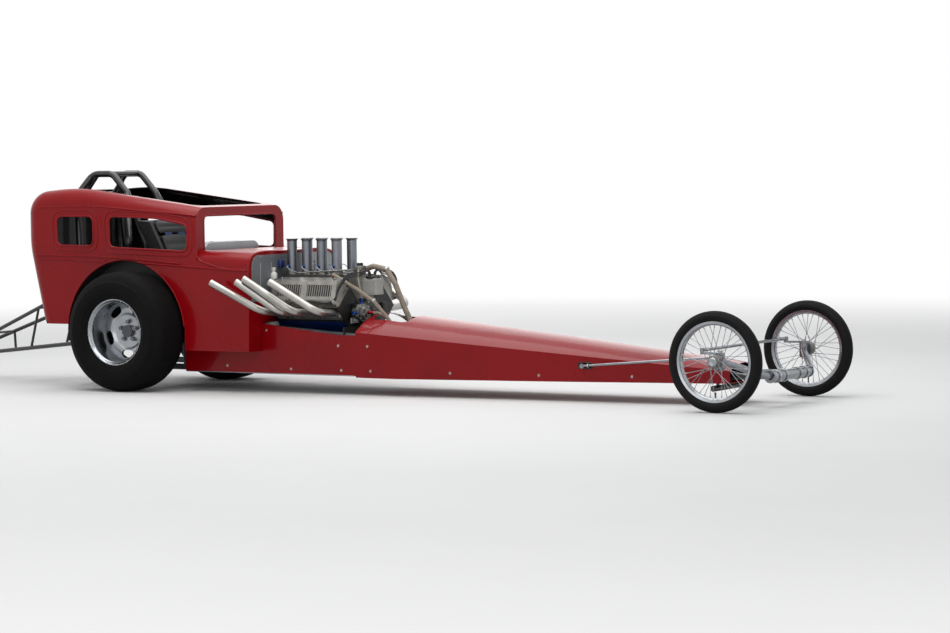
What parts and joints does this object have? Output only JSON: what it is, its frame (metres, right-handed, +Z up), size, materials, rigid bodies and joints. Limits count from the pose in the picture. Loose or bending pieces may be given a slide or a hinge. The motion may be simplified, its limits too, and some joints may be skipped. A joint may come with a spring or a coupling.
{
  "type": "drag racing car",
  "caption": "Front-engined drag racing car with a closed short cab, long low nose, wire front wheels, wide slicks and wheelie bars.",
  "frame": {"origin": "on the ground under the middle of the car, at its bottom centre", "axes": "+X forward along the length, +Y to the car's left, +Z up"},
  "size_m": [6.38, 1.4014, 1.385],
  "materials": {
    "body_paint": "gloss red enamel with pale stripes",
    "sheet_aluminium": "brushed sheet",
    "cast_aluminium": "as-cast, ribbed",
    "polished_aluminium": "polished",
    "chrome_plate": "bright plated",
    "header_coating": "white ceramic",
    "black_steel": "satin black",
    "frame_grey": "satin grey",
    "engine_blue": "engine enamel",
    "seat_black": "stitched pad cover",
    "tyre_rubber": "dull black",
    "hose_rubber": "braided tan",
    "magneto_cap": "moulded grey"
  },
  "bodies": {
    "chassis": {"body_side_right": "body_paint", "body_side_left": "body_paint", "body_back": "body_paint", "roof_panel": "body_paint", "cowl": "body_paint", "firewall": "sheet_aluminium", "wheel_tubs": "sheet_aluminium", "cockpit_cover": "sheet_aluminium", "frame_rails": "frame_grey", "roll_cage": "black_steel", "seat": "seat_black", "belly_pan": "sheet_aluminium", "side_panels": "body_paint", "nose_top": "body_paint", "nose_sides": "body_paint", "nose_floor": "body_paint", "frame_tubes": "frame_grey", "gearbox": "cast_aluminium", "engine_block": "engine_blue", "cylinder_heads": "cast_aluminium", "valve_covers": "cast_aluminium", "oil_pan": "engine_blue", "injector_manifold": "cast_aluminium", "injector_stacks": "polished_aluminium", "headers_right": "header_coating", "headers_left": "header_coating", "magneto": "magneto_cap", "fuel_pump": "cast_aluminium", "fuel_tank": "polished_aluminium", "fuel_hoses": "hose_rubber", "rear_axle": "frame_grey", "wheelie_bars": "frame_grey", "front_cross_tube": "chrome_plate", "front_arms": "chrome_plate", "radius_rods": "black_steel"},
    "rear_wheel_right": {"rear_wheel_right": "tyre_rubber"},
    "rear_wheel_left": {"rear_wheel_left": "tyre_rubber"},
    "wheelie_wheels": {"wheelie_wheels": "tyre_rubber"},
    "knuckle_right": {"knuckle_right": "chrome_plate"},
    "knuckle_left": {"knuckle_left": "chrome_plate"},
    "tie_rod": {"tie_rod": "chrome_plate"},
    "drag_link": {"drag_link": "chrome_plate"},
    "front_wheel_right": {"front_wheel_right": "tyre_rubber"},
    "front_wheel_left": {"front_wheel_left": "tyre_rubber"},
    "steering_wheel": {"steering_wheel": "black_steel"}
  },
  "joints": [
    {"name": "rear_right_roll", "type": "hinge", "parent": "chassis", "child": "rear_wheel_right", "pos_m": [-1.24, -0.545, 0.375], "axis": [0, 1, 0], "continuous": true},
    {"name": "rear_left_roll", "type": "hinge", "parent": "chassis", "child": "rear_wheel_left", "pos_m": [-1.24, 0.545, 0.375], "axis": [0, 1, 0], "continuous": true},
    {"name": "wheelie_roll", "type": "hinge", "parent": "chassis", "child": "wheelie_wheels", "pos_m": [-3.12, 0, 0.13], "axis": [0, 1, 0], "continuous": true},
    {"name": "steer_right", "type": "hinge", "parent": "chassis", "child": "knuckle_right", "pos_m": [2.906, -0.556, 0.284], "axis": [0, 0, 1], "range_deg": [-18, 18]},
    {"name": "steer_left", "type": "hinge", "parent": "chassis", "child": "knuckle_left", "pos_m": [2.906, 0.556, 0.284], "axis": [0, 0, 1], "range_deg": [-18, 18]},
    {"name": "front_right_roll", "type": "hinge", "parent": "knuckle_right", "child": "front_wheel_right", "pos_m": [2.906, -0.624, 0.284], "axis": [0, 1, 0], "continuous": true},
    {"name": "front_left_roll", "type": "hinge", "parent": "knuckle_left", "child": "front_wheel_left", "pos_m": [2.906, 0.624, 0.284], "axis": [0, 1, 0], "continuous": true},
    {"name": "tie_rod_pivot", "type": "hinge", "parent": "knuckle_right", "child": "tie_rod", "pos_m": [2.794, -0.556, 0.3435], "axis": [0, 0, 1], "range_deg": [-18, 18]},
    {"name": "drag_link_pivot", "type": "hinge", "parent": "knuckle_right", "child": "drag_link", "pos_m": [2.858, -0.472, 0.3], "axis": [0, 0, 1], "range_deg": [-18, 18]},
    {"name": "steering_wheel_turn", "type": "hinge", "parent": "chassis", "child": "steering_wheel", "pos_m": [-1.015, 0, 0.79], "axis": [-0.9272, 0, 0.3746], "range_deg": [-144, 144]}
  ],
  "couplings": [
    {"joint": "steer_left", "follows": "steer_right", "ratio": 1},
    {"joint": "tie_rod_pivot", "follows": "steer_right", "ratio": -1},
    {"joint": "drag_link_pivot", "follows": "steer_right", "ratio": -1},
    {"joint": "steering_wheel_turn", "follows": "steer_right", "ratio": 8}
  ]
}
